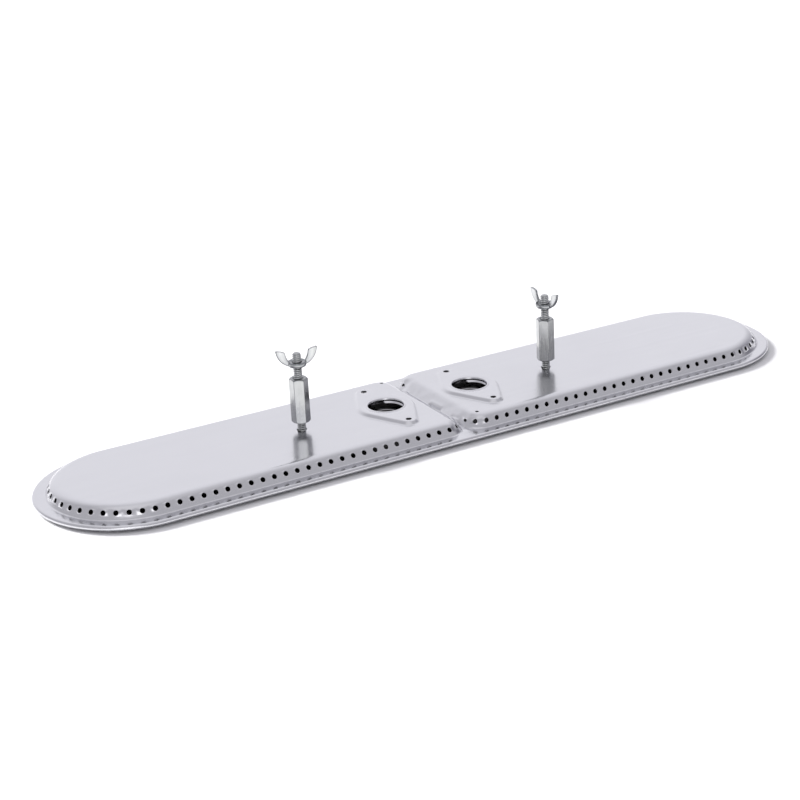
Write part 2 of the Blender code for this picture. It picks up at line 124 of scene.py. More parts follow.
# Rolled lip and collar: (radius, height above the pad), in mm
INLET_LIP = (
    (14.9, 0.0), (14.5, -0.12), (14.1, -0.2), (13.7, -0.08), (13.3, 0.16), (12.9, 0.26),
    (12.55, 0.2), (12.3, -0.05), (12.15, -0.5), (12.05, -1.1), (12.0, -1.75), (12.0, -1.85),
)
# Turned-in edge of the collar, over part of its length: (radius taken off, height), in mm
INLET_LEDGE = ((0.12, -1.9), (1.0, -2.6), (1.35, -2.85), (1.4, -3.0))
LEDGE_START = math.radians(-25)
LEDGE_STOP = math.radians(68)
LEDGE_FADE = math.radians(3)
LEDGE_LEAST = 0.3
SCREW_REACH = 30.8 * MM
SCREW_HOLE_R = 1.9 * MM
SCREW_HOLE_BREAK = (0.3 * MM, 0.18 * MM)
STUD_HOLE_BREAK = (0.25 * MM, 0.15 * MM)
PAD_WAIST_R = 21.0 * MM
PAD_EAR_R = 7.4 * MM
PAD_SLOPE = 3.4 * MM
PAD_ROWS = 8
PAD_BOW = 0.15 * MM
PAD_BOW_STEPS = 7

# Even meshes that fill the level areas
PAD_MESH = 3.0 * MM
PLATE_MESH = 4.0 * MM
FLANGE_MESH = 2.0 * MM
FLOOR_MESH = 8.0 * MM
MESH_CLEARANCE = 0.55

# Lower pan
PAN_FLANGE_INSET = 4.0 * MM
PAN_FLOOR_INSET = 9.3 * MM
PAN_ROWS = 14

# Gas baffle inside each inlet
BAFFLE_R = 11.4 * MM
BAFFLE_SHELF = 3.6 * MM
BAFFLE_BEND = 0.8 * MM
BAFFLE_START = math.radians(-35)
BAFFLE_SWEEP = math.radians(200)
BAFFLE_TAPER = 0.12
BAFFLE_TIP = 0.35
BAFFLE_STEPS = 72
BAFFLE_BEND_STEPS = 6
BAFFLE_SHELF_STEPS = 5

# Studs and hardware
STUD_R = 3.0 * MM
THREAD_PITCH = 1.27 * MM
THREAD_DEPTH = 0.5 * MM
THREAD_FLANK = 1.25
THREAD_AROUND = 24
THREAD_ROWS = 6
STUD_CHAMFER = 0.8 * MM
STUD_WELD = 0.002 * MM
STUD_HEAD_R = 6.0 * MM
STUD_HEAD = 1.5 * MM
STUD_HEAD_EDGE = 0.25 * MM
BORE_R = 3.3 * MM
STANDOFF_CHAMFER = 0.9 * MM
COUNTERSINK = 0.6 * MM
STANDOFF_ROWS = (0.5 * MM, 1.2 * MM, 4.0 * MM, 9.0 * MM)
STANDOFF_CORNER = math.radians(1.1)
# Columns on one flat: angles in radians in from its corners, and out from its middle
STANDOFF_COLUMNS = (0.05, 0.12)
STANDOFF_MIDDLE = 0.25
WING_SHEET = 1.8 * MM
WING_HUB_R = 6.3 * MM
WING_HUB_HEIGHT = 3.4 * MM
WING_HUB_CURVE = (1.4 * MM, 1.8 * MM)
WING_THICKENING = 0.5
WING_AROUND = 20
WING_EDGE_STEPS = 20
WING_TIP_STEPS = 6
# Powers that round off the four corners of a wing's section, across it and through it
WING_SQUARENESS = (0.35, 0.6)
# Outer and inner edge of one wing in mm, each a curve given by its ends and its pull point
WING_OUTER = ((5.0, 0.4), (12.6, 2.9), (14.0, 11.4))
WING_TOP = ((14.0, 11.4), (13.95, 12.15), (13.1, 12.0))
WING_CORNER = ((8.6, 10.8), (7.8, 10.5), (7.6, 9.8))
WING_INNER = ((7.6, 9.8), (7.0, 5.6), (4.6, 3.0))

# Camera
CAMERA_PLACE = Vector((-0.57496, -1.00359, 0.46134))
CAMERA_YAW = math.radians(61.15)
CAMERA_PITCH = math.radians(21.249)
CAMERA_ROLL = math.radians(-2.968)
CAMERA_LENS = 81.63


def mix(a, b, share):
    return a + (b - a) * share


def smooth(value):
    value = min(max(value, 0.0), 1.0)
    return value * value * (3 - 2 * value)


# --- Materials -----------------------------------------------------------------------


class Finish:
    """A material under construction, whose textures use the object's own coordinates."""

    def __init__(self, name, colour, roughness, metallic=1.0):
        self.material = bpy.data.materials.new(name)
        self.material.use_nodes = True
        self.tree = self.material.node_tree
        self.shader = self.tree.nodes["Principled BSDF"]
        self.shader.inputs["Base Color"].default_value = (*colour, 1)
        self.shader.inputs["Roughness"].default_value = roughness
        self.shader.inputs["Metallic"].default_value = metallic
        self.place = self.add("ShaderNodeTexCoord").outputs["Object"]

    def add(self, kind, **inputs):
        node = self.tree.nodes.new(kind)
        for name, value in inputs.items():
            socket = node.inputs[name.replace("_", " ")]
            if isinstance(value, bpy.types.NodeSocket):
                self.tree.links.new(value, socket)
            else:
                socket.default_value = value
        return node

    def noise(self, stretch, detail=3.0, roughness=0.55):
        """Noise whose grains are 1/stretch metres long along each axis."""
        mapping = self.add("ShaderNodeMapping", Vector=self.place, Scale=stretch)
        noise = self.add(
            "ShaderNodeTexNoise",
            Vector=mapping.outputs["Vector"], Scale=1.0, Detail=detail, Roughness=roughness,
        )
        return noise.outputs["Fac"]

    def ranged(self, value, low, high, start=0.3, stop=0.7):
        node = self.add(
            "ShaderNodeMapRange",
            Value=value, From_Min=start, From_Max=stop, To_Min=low, To_Max=high,
        )
        return node.outputs["Result"]

    def blend(self, share, a, b):
        node = self.tree.nodes.new("ShaderNodeMix")
        node.data_type = "RGBA"
        inputs = {socket.identifier: socket for socket in node.inputs}
        self.tree.links.new(share, inputs["Factor_Float"])
        for socket, value in ((inputs["A_Color"], a), (inputs["B_Color"], b)):
            if isinstance(value, bpy.types.NodeSocket):
                self.tree.links.new(value, socket)
            else:
                socket.default_value = (*value, 1)
        return next(socket for socket in node.outputs if socket.identifier == "Result_Color")

    def link(self, name, value):
        self.tree.links.new(value, self.shader.inputs[name])

    def bump(self, *layers):
        """Stacks bump layers, each given as (height, depth in metres)."""
        normal = None
        for height, depth in layers:
            node = self.add("ShaderNodeBump", Height=height, Strength=1.0, Distance=depth)
            if normal:
                self.tree.links.new(normal, node.inputs["Normal"])
            normal = node.outputs["Normal"]
        self.link("Normal", normal)


def shell_finish():
    """Bright stainless sheet with a fine lengthwise grain, rolling marks and dull patches."""
    made = Finish("shell_stainless_sheet", (0.66, 0.66, 0.68), 0.2)
    grain = made.noise((14, 900, 900), 4.0)
    streaks = made.noise((3, 260, 260), 3.0)
    patches = made.noise((22, 30, 30), 3.0)
    shade = made.ranged(streaks, 0.0, 1.0)
    colour = made.blend(shade, (0.655, 0.655, 0.68), (0.668, 0.668, 0.692))
    tone = made.ranged(patches, 0.0, 0.35)
    made.link("Base Color", made.blend(tone, colour, (0.64, 0.64, 0.665)))
    gloss = made.add("ShaderNodeMath", Value=0.0)
    gloss.operation = "ADD"
    made.tree.links.new(made.ranged(grain, 0.13, 0.2), gloss.inputs[0])
    made.tree.links.new(made.ranged(patches, 0.0, 0.07), gloss.inputs[1])
    made.link("Roughness", gloss.outputs["Value"])
    made.bump((grain, 0.000002), (patches, 0.000012))
    return made.material


def painted_shade_finish():
    """The chambers' inner faces as painted shade: rough metal painted near black and mottled,
    standing in for the dark inside the burner.
    """
    made = Finish("painted_shade_chamber_inside", (0.12, 0.115, 0.115), 0.55)
    mottle = made.noise((90, 90, 90), 4.0)
    share = made.ranged(mottle, 0, 1)
    made.link("Base Color", made.blend(share, (0.07, 0.068, 0.068), (0.15, 0.145, 0.14)))
    made.link("Roughness", made.ranged(mottle, 0.45, 0.6))
    made.bump((mottle, 0.00002))
    return made.material


def inner_finish():
    """Dull mill-finish stainless inside the chambers, mottled by handling and oil."""
    made = Finish("inner_mill_stainless", (0.52, 0.52, 0.54), 0.35)
    rolling = made.noise((20, 600, 600), 3.0)
    mottle = made.noise((120, 120, 120), 4.0)
    share = made.ranged(mottle, 0, 1)
    made.link("Base Color", made.blend(share, (0.44, 0.43, 0.43), (0.6, 0.6, 0.61)))
    made.link("Roughness", made.ranged(mottle, 0.26, 0.42))
    made.bump((rolling, 0.000004), (mottle, 0.00001))
    return made.material


def zinc_finish(name, tone, edge_from, edge_to):
    """Bright zinc plating, faintly iridescent, with painted shade darkening its sharp edges."""
    # tone scales the whole colour, so a copy can be painted lighter or darker.
    made = Finish(name, (0.6 * tone, 0.61 * tone, 0.62 * tone), 0.2)
    clouds = made.noise((260, 260, 190), 3.0)
    tint = made.noise((90, 90, 60), 2.0)
    scratches = made.noise((1200, 1200, 90), 3.0)
    pale, dark = Vector((0.68, 0.69, 0.7)) * tone, Vector((0.56, 0.57, 0.58)) * tone
    cloudy = made.blend(made.ranged(clouds, 0, 1), dark, pale)
    tinted = made.blend(made.ranged(tint, 0, 0.4), cloudy, Vector((0.62, 0.63, 0.58)) * tone)
    # Painted shade: sharp convex edges are darkened towards near black.
    bend = made.add("ShaderNodeNewGeometry").outputs["Pointiness"]
    edge_shade = made.ranged(bend, 0, 0.9, edge_from, edge_to)
    made.link("Base Color", made.blend(edge_shade, tinted, (0.2, 0.21, 0.22)))
    made.link("Roughness", made.ranged(scratches, 0.16, 0.28))
    made.bump((scratches, 0.000003), (clouds, 0.000006))
    return made.material


# --- Mesh helpers --------------------------------------------------------------------


def finish_mesh(name, bm, material, body, replaced, sharp, thickness=0.0, under=None):
    """Turns a bmesh into a piece that rides on a body and stands for its CAD node. A sheet
    is given its thickness below its faces, and under is the material of its lower side."""
    mesh = bpy.data.meshes.new(name)
    bm.to_mesh(mesh)
    bm.free()
    mesh.materials.append(material)
    mesh.shade_smooth()
    mesh.set_sharp_from_angle(angle=math.radians(sharp))
    piece = bpy.data.objects.new(name, mesh)
    bpy.context.scene.collection.objects.link(piece)
    if thickness:
        solid = piece.modifiers.new("sheet", "SOLIDIFY")
        solid.thickness = thickness
        solid.offset = -1
    if under:
        mesh.materials.append(under)
        solid.material_offset = 1
        # The cut edges take the under material too, so on the upper shell painted shade darkens the
        # port holes' walls and the hem's lower edge.
        solid.material_offset_rim = 1
    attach(piece, body)
    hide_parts(replaced)
    return piece


def ring(bm, points):
    return [bm.verts.new(p) for p in points]


def bridge(bm, lower, upper, closed=True):
    """Quads between two rows that have the same number of vertices."""
    count = len(lower)
    for k in range(count if closed else count - 1):
        j = (k + 1) % count
        bm.faces.new((lower[k], lower[j], upper[j], upper[k]))


def bridge_all(bm, rows, closed=True):
    for lower, upper in zip(rows, rows[1:]):
        bridge(bm, lower, upper, closed)


def within(points, loop):
    """Which points of an (n, 2) array lie inside a closed loop of 2D points."""
    a = np.array([(p[0], p[1]) for p in loop])
    b = np.roll(a, -1, axis=0)
    x, y = points[:, :1], points[:, 1:]
    crosses = (a[:, 1] > y) != (b[:, 1] > y)
    with np.errstate(divide="ignore", invalid="ignore"):
        at = (b[:, 0] - a[:, 0]) * (y - a[:, 1]) / (b[:, 1] - a[:, 1]) + a[:, 0]
    return (crosses & (x < at)).sum(axis=1) % 2 == 1


def fill_level(bm, loops, spacing):
    """Fills the level area inside the first loop and outside the others with an even mesh."""
    verts = [v for loop in loops for v in loop]
    places = [v.co.to_2d() for v in verts]
    edges, first = [], 0
    for loop in loops:
        count = len(loop)
        edges += [(first + k, first + (k + 1) % count) for k in range(count)]
        first += count
    outlines = [[v.co for v in loop] for loop in loops]
    fixed = np.array(places)
    low, high = fixed.min(axis=0), fixed.max(axis=0)
    xs = np.arange(low[0] + spacing / 2, high[0], spacing)
    ys = np.arange(low[1] + spacing / 2, high[1], spacing)
    grid = np.array([(x + (row % 2) * spacing / 2, y) for row, y in enumerate(ys) for x in xs])
    keep = within(grid, outlines[0])
    for hole in outlines[1:]:
        keep &= ~within(grid, hole)
    grid = grid[keep]
    near = np.array([np.hypot(*(fixed - p).T).min() for p in grid])
    grid = grid[near > spacing * MESH_CLEARANCE]
    points = places + [Vector(p) for p in grid]
    flat, _, faces, origins, _, _ = geometry.delaunay_2d_cdt(points, edges, [], 0, 1e-9)
    height = verts[0].co.z
    made = []
    for place, origin in zip(flat, origins):
        known = [k for k in origin if k < len(verts)]
        made.append(verts[known[0]] if known else bm.verts.new((place.x, place.y, height)))
    centres = np.array([
        sum((Vector(flat[k]) for k in face), Vector((0, 0))) / 3 for face in faces
    ])
    keep = within(centres, outlines[0])
    for hole in outlines[1:]:
        keep &= ~within(centres, hole)
    for face, wanted in zip(faces, keep):
        if wanted:
            bm.faces.new([made[k] for k in face])


def circle(centre, radius, height, steps):
    return [
        Vector((
            centre[0] + radius * math.cos(2 * math.pi * k / steps),
            centre[1] + radius * math.sin(2 * math.pi * k / steps),
            height,
        ))
        for k in range(steps)
    ]


def face_up(bm):
    """Turns an open sheet's faces so that, taken together, they look up."""
    bmesh.ops.recalc_face_normals(bm, faces=bm.faces)
    if sum(face.normal.z * face.calc_area() for face in bm.faces) < 0:
        bmesh.ops.reverse_faces(bm, faces=bm.faces)


# --- Upper shell ---------------------------------------------------------------------


def wall_profile():
    """(distance along the section, radius, height) from the flange up to the plate."""
    foot_r = WALL_FOOT_R - FILLET_BACKSET
    tangent = FOOT_FILLET_R * math.tan(WALL_ANGLE / 2)
    points = [(foot_r + tangent + SUPPORT, FLANGE_Z)]
    for k in range(SECTION_STEPS + 1):
        turn = WALL_ANGLE * k / SECTION_STEPS
        points.append((
            foot_r + tangent - FOOT_FILLET_R * math.sin(turn),
            FLANGE_Z + FOOT_FILLET_R * (1 - math.cos(turn)),
        ))
    for k in range(SECTION_STEPS, -1, -1):
        turn = SHOULDER_SWEEP * k / SECTION_STEPS
        points.append((
            PLATE_R + SHOULDER_WIDTH * math.sin(turn),
            PLATE_Z - SHOULDER_HEIGHT * (1 - math.cos(turn)),
        ))
    points.append((PLATE_R - SUPPORT, PLATE_Z))
    along = [0.0]
    for a, b in zip(points, points[1:]):
        along.append(along[-1] + math.dist(a, b))
    return np.array(along), np.array([p[0] for p in points]), np.array([p[1] for p in points])


ALONG, PROFILE_R, PROFILE_Z = wall_profile()
PORT_T = float(np.interp(PORT_Z, PROFILE_Z, ALONG))
ROW_R = float(np.interp(PORT_T, ALONG, PROFILE_R))
ROW_SHARE = (WALL_FOOT_R - ROW_R) / (WALL_FOOT_R - PLATE_R)
ROW_CORNER_R = mix(FOOT_CORNER_R, PLATE_CORNER_R, ROW_SHARE)
ROW_CORNER_X = mix(FOOT_X, PLATE_X, ROW_SHARE) + ROW_CORNER_R
END_RUN = ROW_R * math.pi / 2
STRAIGHT_RUN = ARC_X - ROW_CORNER_X
CORNER_RUN = ROW_CORNER_R * math.pi / 2
GROOVE_RUN = ROW_R - ROW_CORNER_R
PORTED_RUN = END_RUN + STRAIGHT_RUN + CORNER_RUN
FIRST_RUN = END_RUN + ARC_X - FIRST_PORT_X
PORT_GAPS = 2 * round(FIRST_RUN / PORT_PITCH - 0.5) + 1
PITCH = 2 * FIRST_RUN / PORT_GAPS
HALF_PORTS = (PORT_GAPS + 1) // 2 + CORNER_PORTS


def crease_rise(y):
    """Height of the pinch line above the flange."""
    reach = WALL_FOOT_R - FOOT_CORNER_R - abs(y)
    return CREASE_RISE * smooth(reach / GROOVE_END_RAMP)


def groove_rise(share):
    """Rise of the groove's side: straight from the foot, then rounded over into the plate."""
    past = max(min(share, 1) - GROOVE_STRAIGHT, 0)
    rounding = past * past / (2 * (1 - GROOVE_STRAIGHT))
    return (min(share, 1) - rounding) / ((1 + GROOVE_STRAIGHT) / 2)


def shell_point(run, t):
    """Point on the +X chamber, at a distance along the port row from the end arc's middle
    (negative towards the front) and a distance up the wall section."""
    radius = float(np.interp(t, ALONG, PROFILE_R))
    wall_z = float(np.interp(t, ALONG, PROFILE_Z))
    share = (WALL_FOOT_R - radius) / (WALL_FOOT_R - PLATE_R)
    d, way = abs(run), math.copysign(1, run)
    past_corner = d - END_RUN - STRAIGHT_RUN
    if past_corner > 0 and share < 0:
        share *= mix(1, CREASE_DEPTH_SHARE, min(past_corner / CORNER_RUN, 1))
    corner_r = mix(FOOT_CORNER_R, PLATE_CORNER_R, share)
    inner_x = mix(FOOT_X, PLATE_X, share)
    corner_x = inner_x + corner_r
    if d <= END_RUN:
        turn = d / ROW_R
        return Vector((ARC_X + radius * math.cos(turn), way * radius * math.sin(turn), wall_z))
    if past_corner <= 0:
        x = mix(ARC_X, corner_x, (d - END_RUN) / STRAIGHT_RUN)
        return Vector((x, way * radius, wall_z))
    radius = mix(WALL_FOOT_R, PLATE_R, share)
    if past_corner <= CORNER_RUN:
        turn = past_corner / ROW_CORNER_R
        x = corner_x - corner_r * math.sin(turn)
        y = radius - corner_r * (1 - math.cos(turn))
        belongs, base = (past_corner / CORNER_RUN) ** 2, FLANGE_Z
    else:
        x = inner_x
        y = (radius - corner_r) * (1 - (past_corner - CORNER_RUN) / GROOVE_RUN)
        belongs, base = 1.0, FLANGE_Z + crease_rise(y)
    groove_z = base + (PLATE_Z - base) * groove_rise(share)
    return Vector((x, way * y, mix(wall_z, groove_z, belongs)))


def shell_normal(run, t):
    step = 0.05 * MM
    across = shell_point(run + step, t) - shell_point(run - step, t)
    up = shell_point(run, t + step) - shell_point(run, t - step)
    return across.cross(up).normalized()


def column_runs():
    """Distances along the outline, from the front groove middle round to the back one."""
    last_cell = HALF_PORTS * PITCH
    groove_end = PORTED_RUN + GROOVE_RUN
    count = round((groove_end - last_cell) / GROOVE_PITCH)
    ends = [mix(last_cell, groove_end, k / count) for k in range(1, count + 1)]
    cells = [
        (-HALF_PORTS + k / CELL_SPLIT) * PITCH for k in range(2 * HALF_PORTS * CELL_SPLIT + 1)
    ]
    return [-run for run in ends[::-1]] + cells + ends, count


def section_rows():
    """Heights up the section of the rows below and above the band of port cells."""
    fillet_end = float(np.interp(FLANGE_Z + FILLET_TOP, PROFILE_Z, ALONG))
    low, high = PORT_T - CELL_HALF, PORT_T + CELL_HALF
    below = [mix(SUPPORT, fillet_end, k / FILLET_ROWS) for k in range(FILLET_ROWS + 1)]
    end = ALONG[-1]
    above = [mix(high, end - SUPPORT, k / SHOULDER_ROWS) for k in range(SHOULDER_ROWS + 1)]
    return [0.0] + below + [low], above + [end]


def to_side(point, side):
    """The -X chamber is the +X one turned half round Z."""
    return Vector((side * point.x, side * point.y, point.z))


def add_port_cell(bm, grid, column, side):
    """The square of wall round one port, with a slightly raised, rolled-in edge."""
    runs, low, high, posts = grid["runs"], grid["low"], grid["high"], grid["posts"]
    right = column + CELL_SPLIT
    bottom = [low[k] for k in range(column, right + 1)]
    top = [high[k] for k in range(column, right + 1)]
    loop = bottom + posts[right] + top[::-1] + posts[column][::-1]
    run = runs[column + CELL_SPLIT // 2]
    normal = shell_normal(run, PORT_T)
    count = len(loop)
    start = -math.pi / 2 - math.pi / 4
    rings = [loop]
    for radius, lift in PORT_RINGS:
        points = []
        for k in range(count):
            turn = start + 2 * math.pi * k / count
            scale = radius * MM
            point = shell_point(run + scale * math.cos(turn), PORT_T + scale * math.sin(turn))
            points.append(to_side(point + normal * lift * MM, side))
        rings.append(ring(bm, points))
    bridge_all(bm, rings)


def add_chamber(bm, side):
    """One raised chamber. Returns its rows' first ring, which stands on the flange."""

    def place(run, t):
        return to_side(shell_point(run, t), side)

    runs, groove_columns = column_runs()
    below, above = section_rows()
    runs = runs[1:]
    rows_below = [ring(bm, [place(run, t) for run in runs]) for t in below]
    rows_above = [ring(bm, [place(run, t) for run in runs]) for t in above]
    bridge_all(bm, rows_below)
    bridge_all(bm, rows_above)

    first = groove_columns - 1
    last = first + 2 * HALF_PORTS * CELL_SPLIT
    low, high = rows_below[-1], rows_above[0]
    heights = [PORT_T + CELL_HALF * (2 * k / CELL_SPLIT - 1) for k in range(1, CELL_SPLIT)]
    posts = {
        column: ring(bm, [place(runs[column], t) for t in heights])
        for column in range(first, last + 1, CELL_SPLIT)
    }
    grid = {"runs": runs, "low": low, "high": high, "posts": posts}
    for column in range(first, last, CELL_SPLIT):
        add_port_cell(bm, grid, column, side)
    outside = list(range(last, len(runs))) + list(range(first + 1))
    strips = {
        column: ring(bm, [place(runs[column], t) for t in heights]) for column in outside[1:-1]
    }
    strips[last], strips[first] = posts[last], posts[first]
    for a, b in zip(outside, outside[1:]):
        left = [low[a], *strips[a], high[a]]
        right = [low[b], *strips[b], high[b]]
        bridge(bm, left, right, closed=False)

    add_plate(bm, side, rows_above[-1])
    return runs, rows_below[0]


def pad_outline(inset):
    """Two-bolt pad: a waist round the inlet and an ear round each screw, joined by tangents."""
    waist, ear = PAD_WAIST_R - inset, PAD_EAR_R - inset
    lean = math.asin((waist - ear) / SCREW_REACH)
    waist_points = [
        Vector((math.cos(a), math.sin(a))) * waist for a in np.linspace(-lean, lean, 16)
    ]
    ear_points = [
        Vector((math.cos(a), math.sin(a))) * ear + Vector((0, SCREW_REACH))
        for a in np.linspace(lean, math.pi - lean, 14)
    ]

    def flank(a, b):
        """Points between two arcs, bowed a little so that no three stand in a line."""
        out = Vector((b.y - a.y, a.x - b.x)).normalized()
        shares = [k / PAD_BOW_STEPS for k in range(1, PAD_BOW_STEPS)]
        return [a.lerp(b, s) + out * (math.sin(math.pi * s) * PAD_BOW) for s in shares]

    half = waist_points + flank(waist_points[-1], ear_points[0])
    half += ear_points + flank(ear_points[-1], -waist_points[0])
    return half + [-p for p in half]


def ledge_share(turn):
    """How far the collar's edge is turned in at this angle, from 0 to 1."""
    turn = (turn + math.pi) % (2 * math.pi) - math.pi
    ends = smooth((turn - LEDGE_START) / LEDGE_FADE) * smooth((LEDGE_STOP - turn) / LEDGE_FADE)
    return ends * mix(LEDGE_LEAST, 1.0, (turn - LEDGE_START) / (LEDGE_STOP - LEDGE_START))


def add_hole(bm, centre, radius, height, edge_break, steps):
    """A round hole whose edge is broken by a (width, depth). Returns its outer ring."""
    width, depth = edge_break
    outer = ring(bm, circle(centre, radius + width, height, steps))
    bridge(bm, outer, ring(bm, circle(centre, radius, height - depth, steps)))
    return outer


def add_plate(bm, side, edge):
    """The flat top of a chamber: pad, inlet lip, screw holes and stud hole."""
    x = side * INLET_X
    steps = [(-SUPPORT * 1.5, 0.0)]
    steps += [(PAD_SLOPE * k / PAD_ROWS, smooth(k / PAD_ROWS)) for k in range(PAD_ROWS + 1)]
    steps += [(PAD_SLOPE + SUPPORT, 1.0)]
    pad = [
        ring(bm, [(p.x + x, p.y, PLATE_Z + PAD_RAISE * rise) for p in pad_outline(inset)])
        for inset, rise in steps
    ]
    bridge_all(bm, pad)
    lip = [
        ring(bm, circle((x, 0), r * MM, PAD_Z + rise * MM, INLET_AROUND))
        for r, rise in INLET_LIP
    ]
    for inward, rise in INLET_LEDGE:
        row = []
        for k in range(INLET_AROUND):
            turn = 2 * math.pi * k / INLET_AROUND
            reach = (INLET_LIP[-1][0] - inward * ledge_share(turn)) * MM
            spot = (x + reach * math.cos(turn), reach * math.sin(turn), PAD_Z + rise * MM)
            row.append(spot)
        lip.append(ring(bm, row))
    bridge_all(bm, lip)
    holes = []
    for end in (1, -1):
        at = (x, end * SCREW_REACH)
        holes.append(add_hole(bm, at, SCREW_HOLE_R, PAD_Z, SCREW_HOLE_BREAK, 24))
    fill_level(bm, [pad[-1], lip[0], *holes], PAD_MESH)

    stud_x = stud_place("right" if side > 0 else "left").x
    stud = add_hole(bm, (stud_x, 0), BORE_R, PLATE_Z, STUD_HOLE_BREAK, 32)
    fill_level(bm, [edge, pad[0], stud], PLATE_MESH)


def add_hem(bm, runs):
    """The flange's edge, rolled round and under. Returns its first ring, on the flange."""
    half = [run for run in runs if abs(run) <= END_RUN + STRAIGHT_RUN]
    stations = []
    for run in half:
        d, way = abs(run), math.copysign(1, run)
        if d <= END_RUN:
            turn = d / ROW_R
            stations.append((Vector((ARC_X, 0)), Vector((math.cos(turn), way * math.sin(turn)))))
        else:
            x = ARC_X - (d - END_RUN)
            stations.append((Vector((x, 0)), Vector((0, way))))
    inner_x = stations[-1][0].x
    count = round(inner_x / GROOVE_PITCH)
    stations += [(Vector((inner_x * (1 - k / count), 0)), Vector((0, 1))) for k in range(1, count)]
    front_x = stations[0][0].x
    count = round(front_x / GROOVE_PITCH)
    front = [(Vector((front_x * k / count, 0)), Vector((0, -1))) for k in range(count)]
    stations = front + stations
    stations += [(-centre, -out) for centre, out in stations]
    bend = HEM_HEIGHT / 2
    section = [(EDGE_R - bend - SUPPORT, FLANGE_Z)]
    for k in range(HEM_STEPS + 1):
        turn = math.pi / 2 - math.pi * k / HEM_STEPS
        section.append((
            EDGE_R - bend + bend * math.cos(turn),
            HEM_BASE_Z + bend + bend * math.sin(turn),
        ))
    section.append((HEM_LIP_R, HEM_BASE_Z))
    rings = []
    for radius, height in section:
        rings.append(ring(bm, [(*(centre + out * radius), height) for centre, out in stations]))
    bridge_all(bm, rings)
    return rings[0]


def cut_vent(bm, centre):
    """Opens a small round hole in the shoulder, inside a clearing of the mesh."""
    doomed = []
    for face in bm.faces:
        middle = face.calc_center_median()
        near = (middle.to_2d() - centre).length < VENT_CLEARING
        if near and middle.z > FLANGE_Z + VENT_LEAST_RISE:
            doomed.append(face)
    corners = {v for face in doomed for v in face.verts}
    bmesh.ops.delete(bm, geom=doomed, context="FACES")
    edge = [v for v in corners if v.is_valid and v.is_boundary]
    edge.sort(key=lambda v: math.atan2(v.co.y - centre.y, v.co.x - centre.x))
    places = np.array([v.co[:] for v in edge])
    flat = np.column_stack((places[:, :2], np.ones(len(edge))))
    slope = np.linalg.lstsq(flat, places[:, 2], rcond=None)[0]
    rows = [edge]
    for radius, drop in VENT_RINGS:
        row = []
        for v in edge:
            way = (v.co.to_2d() - centre).normalized() * radius * MM
            x, y = centre + way
            row.append((x, y, slope[0] * x + slope[1] * y + slope[2] - drop * MM))
        rows.append(ring(bm, row))
    bridge_all(bm, rows)


# Creases left by the pinching: start and end in plan (mm), height and width (mm)
CRINKLES = (
    ((0.9, 0.0), (1.3, -13.0), -1.2, 1.05),
    ((2.9, 1.0), (3.4, -12.0), 0.3, 1.0),
    ((-0.4, -29.0), (0.8, -32.0), 0.7, 1.0),
    ((1.8, -28.0), (2.6, -34.0), -0.5, 0.8),
    ((-1.0, -47.5), (-7.5, -43.0), 0.6, 0.8),
    ((-0.5, -45.0), (-4.0, -38.0), 0.55, 0.8),
    ((1.0, -46.0), (4.6, -38.0), 0.5, 0.8),
    ((0.8, -43.0), (1.0, -36.0), -0.6, 0.8),
    ((2.4, -47.5), (8.0, -44.0), -0.5, 0.8),
    ((0.4, -49.5), (8.5, -48.0), 0.35, 0.9),
    ((-0.6, -49.5), (-9.0, -48.5), 0.35, 0.9),
    ((-3.0, -24.0), (-8.0, -34.0), -0.15, 2.2),
    ((3.0, 14.0), (8.5, 5.0), 0.12, 2.4),
    ((3.5, -17.0), (9.0, -25.0), -0.14, 2.4),
    ((4.5, 22.0), (6.5, 34.0), 0.16, 2.2),
    ((2.5, 40.0), (9.0, 36.0), -0.2, 1.6),
)


def crinkle(x, y):
    """Height added to the groove by the creases, in metres."""
    total = 0.0
    point = Vector((x / MM, y / MM))
    for a, b, height, width in CRINKLES:
        start, way = Vector(a), Vector(b) - Vector(a)
        for sign in (1, -1):
            share = (sign * point - start).dot(way) / way.length_squared
            near = start + way * min(max(share, 0), 1)
            gap = (sign * point - near).length / width
            total += height * math.exp(-gap * gap)
    return total * MM


def sheet_wave(x, y):
    """Slight unevenness of a pressed plate, fading out towards the shoulder."""
    reach = min((PLATE_R - abs(y)) / (14 * MM), (ARC_X + PLATE_R - abs(x)) / (30 * MM))
    wave = math.sin(x * 61 + 0.8) * math.cos(y * 42) + 0.6 * math.sin(x * 103 - y * 55)
    return SHEET_WAVE * smooth(reach) * wave


